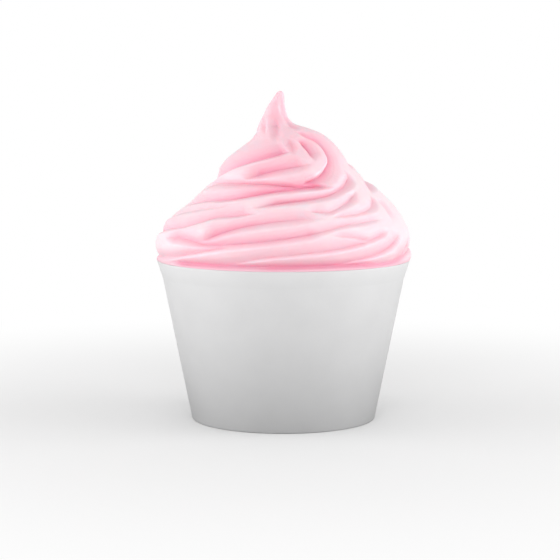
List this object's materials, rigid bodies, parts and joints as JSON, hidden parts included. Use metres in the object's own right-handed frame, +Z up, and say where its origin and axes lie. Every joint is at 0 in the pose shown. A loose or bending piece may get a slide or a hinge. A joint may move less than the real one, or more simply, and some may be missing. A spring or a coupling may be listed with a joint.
{
  "type": "frozen yogurt cup",
  "caption": "Tall pink swirl of soft frozen yogurt with a pulled peak, piled over the rolled rim of a plain white tapered paper cup.",
  "frame": {"origin": "centre of the circle that the cup stands on, at the table", "axes": "+Z up along the cup's axis, +X to the right seen from the front, +Y to the back, where the cup's side seam is"},
  "size_m": [0.0976, 0.0973, 0.125],
  "materials": {
    "cup_sleeve": "smooth coated white board, matte with a faint sheen",
    "cup_disc": "plain white board, matte",
    "frozen_yogurt": "silky matte, slightly translucent pale strawberry pink"
  },
  "bodies": {
    "root": {"cup_wall": "cup_sleeve", "cup_base": "cup_disc", "frozen_yogurt": "frozen_yogurt"}
  },
  "joints": []
}
